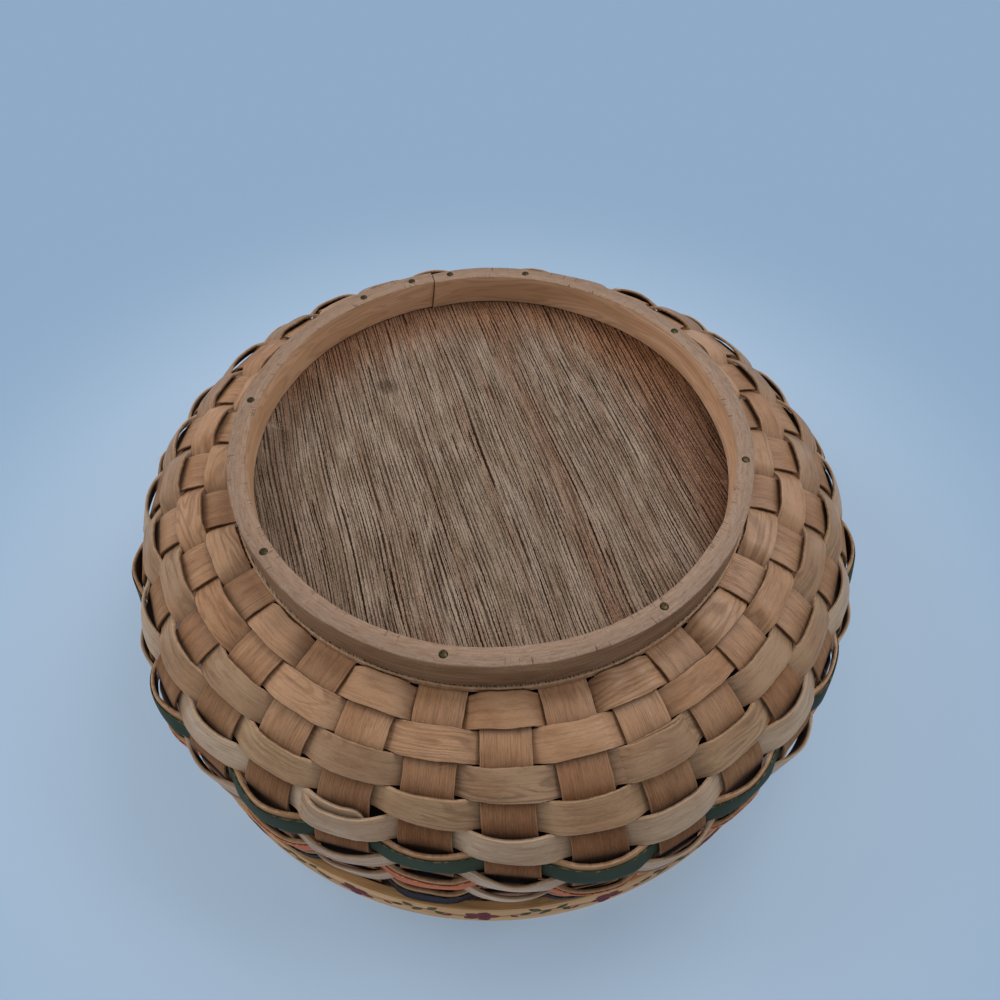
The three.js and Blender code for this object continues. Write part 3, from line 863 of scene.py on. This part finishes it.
def laid_on(first_edge, second_edge, cup):
    """Edges and cup of a painted splint that lies on a backing splint, set back from its hoop-side edge."""
    _, across, out = strip_frame(first_edge, second_edge)
    kept = 1 - PAINTED_SPLINT_SET_BACK / np.linalg.norm(second_edge - first_edge, axis=1)
    lift = (WEAVER_THICKNESS + PAINTED_SPLINT_THICKNESS) / 2 + PAINTED_SPLINT_GAP
    first_lift = lift + cup * (1 - (2 * kept - 1) ** 2)
    first_edge = first_edge + across * PAINTED_SPLINT_SET_BACK + out * first_lift[:, None]
    return first_edge, second_edge + out * lift, cup * kept**2


def weaver_edges(azimuth, offset, row, shift):
    """The hoop-side and mouth-side edges of a weaver as points."""
    arc = azimuth * BELLY_RADIUS
    bow = np.clip(offset - CLEAR, 0, None)
    twist = wander(arc, (8, row), 60 * MM, 0.12)
    tightness = 1 - 1.2 * max(0.0, row - 7) / 3
    leans = (EDGE_SLACK[0] * tightness - twist, EDGE_SLACK[1] * tightness + twist)
    ends = []
    for sign, number, lean in ((-1, row - 1, leans[0]), (1, row, leans[1])):
        trimmed = np.abs(wander(arc, (9, row, number), 30 * MM, EDGE_TRIM))
        distance = row_boundary(azimuth, number) + shift - sign * (EDGE_GAP + trimmed)
        if row == 1 and sign < 0:
            distance = distance - FIRST_ROW_NEARER_HOOP
        if sign > 0 and row + 1 in LAP_SHIFT:
            past_start = azimuth - weaver_lines(row + 1)[0][0]
            distance = distance - lap_shift(row + 1, (past_start + math.pi) % (2 * math.pi) - math.pi)
        radius, height = side.at(distance, offset + bow * lean)
        ends.append(on_circle(azimuth, radius, height))
    return ends


def rounded_end(first_edge, second_edge):
    """Draws a strip's edges together at its start, as scissors cut it."""
    middle = (first_edge + second_edge) / 2
    t = np.clip(length_along(middle) / LAP_END_LENGTH, 0.02, 1)
    share = np.sqrt(1 - (1 - t) ** 2)[:, None]
    return middle + (first_edge - middle) * share, middle + (second_edge - middle) * share


def weaver_pieces(row, node):
    """A row's bare splint, and the painted one that lies on it in a painted row."""
    azimuth, offset, edge_turn = weaver_lines(row)
    hidden = weaver_painted_shade(azimuth, row, edge_turn)
    cup = weaver_cup(offset, row)
    edges = weaver_edges(azimuth, offset, row, -lap_shift(row, azimuth - azimuth[0]))
    if row in SHOWN_LAPS:
        edges = rounded_end(*edges)
    paint = PAINTED_ROWS.get(row)
    name = ("backing_" if paint else "splint_") + node
    wood = materials["backing" if paint else ROW_WOODS.get(row, "weaver")]
    strip_piece(name, *edges, WEAVER_THICKNESS, row, wood, "weaver_wood", node, hidden, cup)
    if paint:
        *edges, cup = laid_on(*edges, cup)
        strip_piece(
            "painted_" + node, *edges, PAINTED_SPLINT_THICKNESS, row + 20, materials[paint], paint + "_paint",
            node, hidden, cup,
        )


for row, node in enumerate(ROW_NODES, start=1):
    weaver_pieces(row, node)


# Hoop, boards and rim


def turned_band(name, outline, azimuths, material, node, wobble):
    """A band of revolution from an outline of (radius, height) points, over the azimuths given."""
    radius, height = (np.broadcast_to(values, azimuths.shape) for values in np.array(outline).T)
    points = on_circle(azimuths, *wobble(azimuths, radius, height)).reshape(-1, 3)
    return piece(name, points, tube_faces(*azimuths.shape), material, (node,), sharp=35.0)


def rounded_box(inside, outside, bottom, top, bottom_rounding, top_rounding):
    """Outline of a band's section, with rounded corners and points along its faces."""
    turns = []
    for radius, height, start, rounding in (
        (inside, bottom, 180, bottom_rounding),
        (outside, bottom, 270, bottom_rounding),
        (outside, top, 0, top_rounding),
        (inside, top, 90, top_rounding),
    ):
        centre_radius = radius + (rounding if radius == inside else -rounding)
        centre_height = height + (rounding if height == bottom else -rounding)
        turns.append([])
        for angle in (math.radians(start + step) for step in (0, 30, 60, 90)):
            across = rounding * math.cos(angle)
            turns[-1].append((centre_radius + across, centre_height + rounding * math.sin(angle)))
    outline = []
    for turn, after in zip(turns, turns[1:] + turns[:1]):
        outline += turn
        (radius, height), (end_radius, end_height) = turn[-1], after[0]
        for t in (0.2, 0.4, 0.6, 0.8):
            outline.append((radius + (end_radius - radius) * t, height + (end_height - height) * t))
    return outline


def seamed_azimuths(outline, radius, seam, slant, steps):
    """Azimuths round a band from one side of its seam to the other, for each corner of its outline."""
    middle = (min(point[1] for point in outline) + max(point[1] for point in outline)) / 2
    lean = np.array([-(point[1] - middle) * math.tan(slant) / radius for point in outline])[None, :]
    gap = SEAM_GAP / radius
    return seam + gap / 2 + lean + np.linspace(0, 2 * math.pi - gap, steps)[:, None]


def hoop_wobble(azimuth, radius, height):
    """Small dents and an uneven sawn face, with one end of the strip sprung a little inwards at the seam."""
    arc = azimuth * HOOP_RADIUS
    lower = np.clip(1 - height / HOOP_HEIGHT, 0, 1)
    outer = radius > HOOP_RADIUS - HOOP_THICKNESS / 2
    waves = wander(arc, (20,), 70 * MM, 0.22 * MM) + wander(arc, (21,), 13 * MM, 0.06 * MM)
    inner_waves = wander(arc, (22,), 60 * MM, 0.3 * MM)
    radius = radius + np.where(outer, np.minimum(waves, 0.15 * MM) - 0.1 * MM, inner_waves)
    from_end = (azimuth - azimuth[0:1, :]) * HOOP_RADIUS
    radius = radius - HOOP_END_SPRUNG * np.exp(-from_end / (16 * MM))
    height = height + np.where(lower > 0.9, np.abs(wander(arc, (23,), 30 * MM, 0.05 * MM)), 0)
    return radius, height


HOOP_TOP_ROUNDING = 0.3 * MM
hoop_outline = rounded_box(
    HOOP_RADIUS - HOOP_THICKNESS, HOOP_RADIUS, 0.0, HOOP_HEIGHT, HOOP_ROUNDING, HOOP_TOP_ROUNDING
)
hoop = turned_band(
    "bent_foot_hoop",
    hoop_outline,
    seamed_azimuths(hoop_outline, HOOP_RADIUS - HOOP_THICKNESS / 2, HOOP_SEAM_AZIMUTH, HOOP_SEAM_SLANT, 260),
    materials["hoop"],
    "foot_hoop",
    hoop_wobble,
)


BOARD_STEPS = 900


def board_piece(name, node, radius, bottom, top, face_material, ragged):
    """A sawn round board, with a rough edge of torn veneer."""
    azimuth = np.linspace(0, 2 * math.pi, BOARD_STEPS, endpoint=False)
    random = np.random.default_rng([SEED, 30, int(radius / MM)])
    heights = [bottom, bottom + 0.35 * MM, (bottom + top) / 2, top - 0.35 * MM, top]
    vertices = [(0.0, 0.0, bottom)]
    grain = [(0.0, 0.0, 0.0)]
    for height in heights:
        on_face = height in (bottom, top)
        rough = ragged * random.uniform(-1, 0.25, BOARD_STEPS) * (0.4 if on_face else 1.0)
        around = radius - (0.6 * MM if on_face else 0.0) + rough
        level = np.full(BOARD_STEPS, height)
        vertices += on_circle(azimuth, around, level).tolist()
        grain += np.stack([azimuth * radius * 0.2, level, azimuth * radius / MM * 0.9], axis=1).tolist()
    vertices.append((0.0, 0.0, top))
    grain.append((0.0, 0.0, 0.0))
    faces = []
    last = len(vertices) - 1
    top_ring = last - BOARD_STEPS
    for i in range(BOARD_STEPS):
        j = (i + 1) % BOARD_STEPS
        faces.append((0, 1 + j, 1 + i))
        for a in range(1, top_ring, BOARD_STEPS):
            b = a + BOARD_STEPS
            faces.append((a + i, a + j, b + j, b + i))
        faces.append((last, top_ring + i, top_ring + j))
    made = piece(name, vertices, faces, face_material, (node,), {"grain": grain}, 40.0)
    made.data.materials.append(materials["ply_edge"])
    for polygon in made.data.polygons:
        if abs(polygon.normal.z) < 0.95:
            polygon.material_index = 1
    return made


base_board = board_piece(
    "sawn_base_board", "base_board", BOARD_RADIUS, BOARD_BOTTOM, BOARD_TOP, materials["base_ply"], 0.14 * MM
)
inner_board = board_piece(
    "sawn_inner_board", "inner_board", INNER_BOARD_RADIUS, INNER_BOARD_BOTTOM, INNER_BOARD_TOP,
    materials["inner_ply"], 0.2 * MM,
)


def rim_piece(which, inside, thickness, seam):
    outline = rounded_box(inside, inside + thickness, RIM_BOTTOM, TOTAL_HEIGHT, 0.25 * MM, RIM_ROUNDING)

    def wobble(azimuth, radius, height):
        low_edge = np.clip(1 - (height - RIM_BOTTOM) / (3 * MM), 0, 1)
        waves = wander(azimuth * inside, (40, int(inside / MM)), 30 * MM, 0.15 * MM)
        return radius, height + low_edge * waves

    azimuths = seamed_azimuths(outline, inside, seam, 0.0, 320)
    band = which + "_rim"
    turned_band("bent_" + band, outline, azimuths, materials[band], band + "_band", wobble)


rim_piece("outer", OUTER_RIM_RADIUS - OUTER_RIM_THICKNESS, OUTER_RIM_THICKNESS, OUTER_RIM_SEAM_AZIMUTH)
rim_piece("inner", INNER_RIM_OUTSIDE - INNER_RIM_THICKNESS, INNER_RIM_THICKNESS, INNER_RIM_SEAM_AZIMUTH)


# Nails


def lathe(outline, sides):
    """Vertices and faces of a turned solid from (radius, height) points that start and end on the axis."""
    vertices = []
    faces = []
    starts = []
    for radius, height in outline:
        starts.append(len(vertices))
        if radius == 0:
            vertices.append((0.0, 0.0, height))
        else:
            angles = np.arange(sides) * 2 * math.pi / sides
            vertices += on_circle(angles, radius, np.full(sides, height)).tolist()
    for level in range(len(outline) - 1):
        a, b = starts[level], starts[level + 1]
        for i in range(sides):
            j = (i + 1) % sides
            if outline[level][0] == 0:
                faces.append((a, b + i, b + j))
            elif outline[level + 1][0] == 0:
                faces.append((a + j, a + i, b))
            else:
                faces.append((a + i, a + j, b + j, b + i))
    return np.array(vertices), faces


def nail_pieces():
    """The nails in their solids' places, and the sinks that their heads lie in."""
    sinks = []
    for node in NAIL_NODES:
        low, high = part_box(node)
        centre = (low + high) / 2
        outline = [
            (0, low.z - 0.1 * MM),
            (NAIL_HEAD_RADIUS * 0.55, low.z - 0.06 * MM),
            (NAIL_HEAD_RADIUS * 0.85, low.z + 0.03 * MM),
            (NAIL_HEAD_RADIUS, low.z + 0.18 * MM),
            (NAIL_HEAD_RADIUS, low.z + 0.32 * MM),
            (NAIL_SHANK_RADIUS, low.z + 0.7 * MM),
            (NAIL_SHANK_RADIUS, high.z - 2.2 * MM),
            (0, high.z),
        ]
        vertices, faces = lathe(outline, 20)
        shift = np.array([centre.x, centre.y, 0])
        piece("brass_" + node, vertices + shift, faces, materials["nail"], (node,), sharp=40.0)
        sink = [
            (0, -1 * MM),
            (NAIL_HEAD_RADIUS + 0.3 * MM, -1 * MM),
            (NAIL_HEAD_RADIUS + 0.25 * MM, low.z + 0.3 * MM),
            (NAIL_SHANK_RADIUS + 0.3 * MM, low.z + 1.0 * MM),
            (NAIL_SHANK_RADIUS + 0.3 * MM, high.z + 0.3 * MM),
            (0, high.z + 0.3 * MM),
        ]
        vertices, faces = lathe(sink, 20)
        sinks.append((vertices + shift, faces))
    return sinks


def bore(target, sinks):
    """Cuts the nails' sinks out of a piece."""
    vertices = []
    faces = []
    for points, sides in sinks:
        start = len(vertices)
        vertices += points.tolist()
        faces += [tuple(start + corner for corner in face) for face in sides]
    mesh = bpy.data.meshes.new("sinks")
    mesh.from_pydata(vertices, [], faces)
    cutter = added("sinks", mesh)
    modifier = target.modifiers.new("nail sinks", "BOOLEAN")
    modifier.object = cutter
    modifier.operation = "DIFFERENCE"
    modifier.solver = "EXACT"
    bpy.context.view_layer.update()
    drawn = target.evaluated_get(bpy.context.evaluated_depsgraph_get())
    cut = bpy.data.meshes.new_from_object(drawn)
    target.modifiers.clear()
    old = target.data
    target.data = cut
    bpy.data.meshes.remove(old)
    bpy.data.objects.remove(cutter)
    bpy.data.meshes.remove(mesh)
    cut.set_sharp_from_angle(angle=math.radians(35))


def nail_hits(stake):
    """Whether a nail goes through a stake's foot."""
    for node in NAIL_NODES:
        middle = (lowest(node) + highest(node)) / 2
        away = math.atan2(middle.y, middle.x) - stake * STAKE_PITCH
        beside = math.hypot(middle.x, middle.y) * math.sin(away)
        if math.cos(away) > 0 and abs(beside) < STAKE_FOOT_WIDTH / 2 + NAIL_HEAD_RADIUS:
            return True
    return False


sinks = nail_pieces()
nailed_stakes = [stakes[stake] for stake in stakes if nail_hits(stake)]
for bored in (hoop, base_board, inner_board, *nailed_stakes):
    bore(bored, sinks)


# Painted vine on the outer rim band

VINE_REPEATS = 19
VINE_START = 10 * MM
VINE_HEIGHT = (RIM_BOTTOM + TOTAL_HEIGHT) / 2
VINE_SWING = 2.6 * MM
PAINT_STANDS_PROUD = 0.04 * MM
PAINT_LAYER = 0.012 * MM
LAYERS_OF_RED = 7
DROP_POINTS = 12
STEM_WIDTH = 0.6 * MM
PETAL_LENGTH = 7.6 * MM
PETAL_WIDTH = 5.6 * MM
BUD_LENGTH = 5.0 * MM
BUD_WIDTH = 2.6 * MM
LEAF_WIDTH = 3.2 * MM
# Share of the repeat where a leaf grows, its angle in radians and its length in millimetres
LEAVES = ((0.6, 2.2, 7.0), (0.66, -2.3, 7.4), (0.7, 0.9, 7.6), (0.78, -0.8, 7.2), (0.86, 0.5, 6.0))


class Painting:
    """Flat painted shapes on the band's outer face, in metres along and up it."""

    def __init__(self, first_layer):
        self.first_layer = first_layer
        self.vertices = []
        self.faces = []

    def polygon(self, outline, layer):
        start = len(self.vertices)
        middle = tuple(sum(values) / len(outline) for values in zip(*outline))
        for along, up in [middle, *outline]:
            azimuth = along / OUTER_RIM_RADIUS
            radius = OUTER_RIM_RADIUS + PAINT_STANDS_PROUD + (self.first_layer + layer) * PAINT_LAYER
            self.vertices.append((radius * math.cos(azimuth), radius * math.sin(azimuth), VINE_HEIGHT + up))
        count = len(outline)
        for i in range(count):
            self.faces.append((start, start + 1 + i, start + 1 + (i + 1) % count))

    def drop(self, along, up, angle, length, width, bluntness, layer):
        """A petal or leaf from its root, fattest at a share of its length given by bluntness."""
        outline = []
        for i in range(DROP_POINTS):
            turn = 2 * math.pi * i / DROP_POINTS
            t = (1 - math.cos(turn)) / 2
            body = math.sin(math.pi * t ** (math.log(0.5) / math.log(bluntness)))
            x = t * length
            y = math.copysign(body * width / 2, math.sin(turn)) if 0 < t < 1 else 0.0
            turned_x = x * math.cos(angle) - y * math.sin(angle)
            turned_y = x * math.sin(angle) + y * math.cos(angle)
            outline.append((along + turned_x, up + turned_y))
        self.polygon(outline, layer)

    def line(self, points, width):
        """A brushed line that is thinner at its ends."""
        last = len(points) - 1
        halves = [width / 2 * (0.5 + 0.5 * math.sin(math.pi * i / last)) for i in range(last + 1)]
        for (x0, y0), (x1, y1), a, b in zip(points, points[1:], halves, halves[1:]):
            size = math.hypot(x1 - x0, y1 - y0)
            nx, ny = -(y1 - y0) / size, (x1 - x0) / size
            near = [(x0 - nx * a, y0 - ny * a), (x1 - nx * b, y1 - ny * b)]
            far = [(x1 + nx * b, y1 + ny * b), (x0 + nx * a, y0 + ny * a)]
            self.polygon(near + far, 0)

    def made(self, name, material):
        return piece(name, self.vertices, self.faces, material)


def paint_vine():
    """A wavy stem with a round blossom and its buds, then a spray of leaves, over and over."""
    random = np.random.default_rng([SEED, 50])
    repeat = 2 * math.pi * OUTER_RIM_RADIUS / VINE_REPEATS
    red = Painting(0)
    green = Painting(LAYERS_OF_RED)

    def stem(x):
        return VINE_SWING * math.sin(2 * math.pi * (x - VINE_START) / repeat)

    for number in range(VINE_REPEATS):
        start = number * repeat + VINE_START
        red.line([(x, stem(x)) for x in np.linspace(start, start + repeat, 25)], STEM_WIDTH)
        x = start + 0.25 * repeat
        y = stem(x) - 1.4 * MM
        turn = random.uniform(0, 2 * math.pi)
        for petal in range(5):
            angle = turn + petal * 2 * math.pi / 5
            length = PETAL_LENGTH * random.uniform(0.85, 1.1)
            red.drop(x, y, angle, length, PETAL_WIDTH, 0.6, petal + 1)
        for share, way in ((0.02, 1), (0.47, -1)):
            bud = start + share * repeat
            red.drop(bud, stem(bud), math.pi / 2 + way * 0.7, BUD_LENGTH, BUD_WIDTH, 0.55, 1)
        for layer, (share, angle, length) in enumerate(LEAVES, start=1):
            leaf = start + share * repeat
            lean = angle + random.uniform(-0.2, 0.2)
            size = length * MM * random.uniform(0.85, 1.1)
            green.drop(leaf, stem(leaf), lean, size, LEAF_WIDTH, 0.45, layer)
    green.made("painted_vine_leaves", materials["leaf"])
    red.made("painted_vine_blossoms", materials["petal"])


paint_vine()


# Loose fibres on the splints' edges


FIBRE_COUNT = 90
FIBRE_STEPS = 6


def fibre_pieces():
    """Hairs that stand off from the edges of the splints, one in twelve of them long."""
    random = np.random.default_rng([SEED, 60])
    vertices = []
    faces = []
    grain = []
    for number in range(FIBRE_COUNT):
        row = random.integers(2, ROW_COUNT + 1)
        stake = random.integers(0, STAKE_COUNT)
        azimuth = (stake + random.uniform(-0.45, 0.45)) * STAKE_PITCH
        over = passes_over(row, stake)
        edge = row_middle(row) + random.choice([-1, 1]) * WEAVER_WIDTH / 2
        offset = weaver_crest(row) - 0.3 * MM if over else STAKE_THICKNESS / 2 + 0.5 * MM
        radius, height = side.at(edge, offset)
        root = on_circle(azimuth, radius, height)
        out = np.array([math.cos(azimuth), math.sin(azimuth), random.uniform(-0.5, 0.3)])
        round_about = np.array([-math.sin(azimuth), math.cos(azimuth), 0]) * random.choice([-1, 1])
        length = random.uniform(1.5, 5.5) * MM * (2.2 if number % 12 == 0 else 1.0)
        heading = unit(round_about * random.uniform(0.6, 1.4) + out * random.uniform(0.15, 0.6))
        curl = unit(random.normal(size=3)) * 0.5
        thickness = random.uniform(0.06, 0.13) * MM
        start = len(vertices)
        for step in range(FIBRE_STEPS):
            t = step / (FIBRE_STEPS - 1)
            centre = root + heading * length * t + curl * length * t * t * 0.5
            for corner in range(3):
                angle = corner * 2 * math.pi / 3
                spread = thickness * (1 - 0.85 * t)
                aside = out * math.cos(angle) + np.array([0, 0, 1]) * math.sin(angle)
                vertices.append(centre + spread * aside)
                grain.append((length * t, 0.0, number))
        faces += [tuple(start + corner for corner in face) for face in tube_faces(FIBRE_STEPS, 3)]
    piece("loose_fibres", vertices, faces, materials["backing"], attributes={"grain": grain})


fibre_pieces()


# Studio: pale floors seen only from their own side, soft light and the photograph's camera

BACKDROP_NEAR = "a7bdd4"
BACKDROP_FAR = "8faac6"
LIGHT_FROM_BELOW = 0.63
LIGHT_FROM_ABOVE = 0.34
FLOOR_RADIUS = 0.44
FLOOR_FADES_FROM = 0.18
FLOOR_FADED_AT = 0.42
FLOOR_GLOW_SHARE = 0.4
CAMERA_PLACE = Vector((8.33, -216.0, -238.04)) * MM
CAMERA_AIM = Vector((-1.68, -35.0, 0.0)) * MM
CAMERA_ROLL = math.radians(0.84)
CAMERA_LENS = 29.52
SENSOR = 36.0
FLOOR_CORNERS = 96


def floor_material(name, covered):
    """Pale floor, with painted shade making it dark where the basket covers it, and with a part of its shade
    taken out. It fades into the backdrop all round, and is clear from its back."""
    shader = Shader(name)
    tree = shader.tree
    tree.nodes.remove(shader.surface)
    output = next(node for node in tree.nodes if node.type == "OUTPUT_MATERIAL")
    from_middle = shader.vector("LENGTH", shader.place())
    fade = shader.between(from_middle, FLOOR_FADES_FROM, FLOOR_FADED_AT)
    colour = shader.mix(fade, BACKDROP_NEAR, BACKDROP_FAR)
    # Painted shade: the floor is dark inside the radius that the basket covers
    colour = shader.mix(shader.between(from_middle, covered, covered - 4 * MM), colour, "0c0b0a")
    shaded = shader.node("BsdfDiffuse", {"Color": colour}).outputs[0]
    plain = shader.node("Emission", {"Color": colour, "Strength": 1.0}).outputs[0]
    lit = shader.node("MixShader", {0: FLOOR_GLOW_SHARE, 1: shaded, 2: plain}).outputs[0]
    clear = shader.node("BsdfTransparent").outputs[0]
    behind = shader.node("NewGeometry").outputs["Backfacing"]
    hidden = shader.math("MAXIMUM", behind, fade)
    shader.put(output.inputs["Surface"], shader.node("MixShader", {0: hidden, 1: lit, 2: clear}).outputs[0])
    return shader.material


def floor(name, height, faces_up, covered):
    mesh = bpy.data.meshes.new(name)
    angles = np.arange(FLOOR_CORNERS) * 2 * math.pi / FLOOR_CORNERS
    ring = on_circle(angles, FLOOR_RADIUS, np.zeros(FLOOR_CORNERS)).tolist()
    order = list(range(FLOOR_CORNERS))
    mesh.from_pydata(ring, [], [order if faces_up else order[::-1]])
    mesh.materials.append(floor_material(name, covered))
    thing = added(name, mesh)
    thing.location.z = height
    for rays in ("diffuse", "glossy", "transmission", "shadow"):
        setattr(thing, "visible_" + rays, False)


def lamp(name, place, size, power, colour=(1.0, 1.0, 1.0), gloss=True):
    data = bpy.data.lights.new(name, "AREA")
    data.shape = "DISK"
    data.size = size
    data.energy = power
    data.color = colour
    thing = added(name, data)
    thing.location = place
    towards = Vector((0, 0, TOTAL_HEIGHT / 2)) - Vector(place)
    thing.rotation_euler = towards.to_track_quat("-Z", "Y").to_euler()
    thing.visible_glossy = gloss


def world():
    """Light from all round, stronger from below, and the plain backdrop where the world itself is seen."""
    made = bpy.data.worlds.new("studio")
    bpy.context.scene.world = made
    made.use_nodes = True
    made.node_tree.nodes.clear()
    nodes = Nodes(made.node_tree)
    height = nodes.split(nodes.node("TexCoord").outputs["Generated"])[2]
    level = {"Value": height, "From Min": -1.0, "To Min": LIGHT_FROM_BELOW, "To Max": LIGHT_FROM_ABOVE}
    light = nodes.node("Background", {"Strength": nodes.node("MapRange", level).outputs[0]}).outputs[0]
    seen = nodes.node("Background", {"Color": BACKDROP_FAR}).outputs[0]
    rays = nodes.node("LightPath").outputs
    mirrored = nodes.math("MAXIMUM", rays["Is Glossy Ray"], rays["Is Transmission Ray"])
    shown = nodes.math("MAXIMUM", rays["Is Camera Ray"], mirrored)
    mixed = nodes.node("MixShader", {0: shown, 1: light, 2: seen}).outputs[0]
    nodes.node("OutputWorld", {"Surface": mixed})


def camera():
    data = bpy.data.cameras.new("camera")
    data.lens = CAMERA_LENS
    data.sensor_width = SENSOR
    data.clip_start = 0.01
    data.clip_end = 20.0
    thing = added("camera", data)
    forward = (CAMERA_AIM - CAMERA_PLACE).normalized()
    right = forward.cross(Vector((0, 0, -1))).normalized()
    up = right.cross(forward)
    turned = right * math.cos(CAMERA_ROLL) + up * math.sin(CAMERA_ROLL)
    up = turned.cross(forward)
    thing.matrix_world = Matrix(
        (
            (turned.x, up.x, -forward.x, CAMERA_PLACE.x),
            (turned.y, up.y, -forward.y, CAMERA_PLACE.y),
            (turned.z, up.z, -forward.z, CAMERA_PLACE.z),
            (0, 0, 0, 1),
        )
    )
    bpy.context.scene.camera = thing


floor("floor_under_mouth", TOTAL_HEIGHT + 0.3 * MM, False, MOUTH_RADIUS)
floor("floor_under_foot", -0.3 * MM, True, HOOP_RADIUS - HOOP_THICKNESS)
lamp("window", (-0.55, 0.48, -1.08), 0.8, 6.9, (0.98, 0.99, 1.0))
lamp("small_window", (-0.93, -0.06, -0.9), 0.3, 2.3, (0.98, 0.99, 1.0))
lamp("left_lamp", (1.0, 0.3, -0.72), 0.8, 7.8, gloss=False)
lamp("front_lamp", (0.4, -1.0, 0.8), 0.9, 4.5, gloss=False)
lamp("ceiling_lamp", (0.1, 0.1, 1.5), 0.8, 12.0, gloss=False)
world()
camera()
bpy.context.scene.view_settings.view_transform = "Standard"
